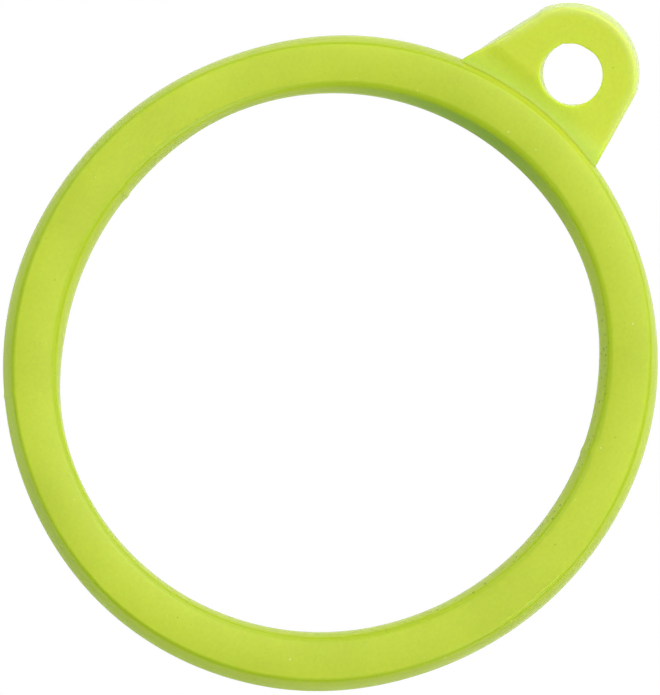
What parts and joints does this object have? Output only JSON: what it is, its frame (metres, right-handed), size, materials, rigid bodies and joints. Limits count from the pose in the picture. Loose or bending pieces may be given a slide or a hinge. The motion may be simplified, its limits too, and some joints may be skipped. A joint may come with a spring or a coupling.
{
  "type": "silicone handle ring with cord eye",
  "caption": "Soft silicone stretch ring for a round handle, with a thin flexing tab on its rim that carries a cord eye.",
  "frame": {"origin": "centre of the ring's bore at the band's mid-height", "axes": "+Z along the bore, +X from the bore's centre towards the eyelet tab"},
  "size_m": [0.0402, 0.034, 0.0039],
  "materials": {
    "ring_silicone": "satin translucent lime-green silicone",
    "tab_silicone": "satin translucent lime-green silicone, thinner than the ring"
  },
  "bodies": {
    "ring": {"ring_band": "ring_silicone"},
    "tab": {"eyelet_tab": "tab_silicone"}
  },
  "joints": [
    {"name": "tab_flex", "type": "hinge", "parent": "ring", "child": "tab", "pos_m": [0.0178, 0, 0], "axis": [0, -1, 0], "range_deg": [-77, 43], "stiffness_Nm_per_rad": 0.003}
  ]
}
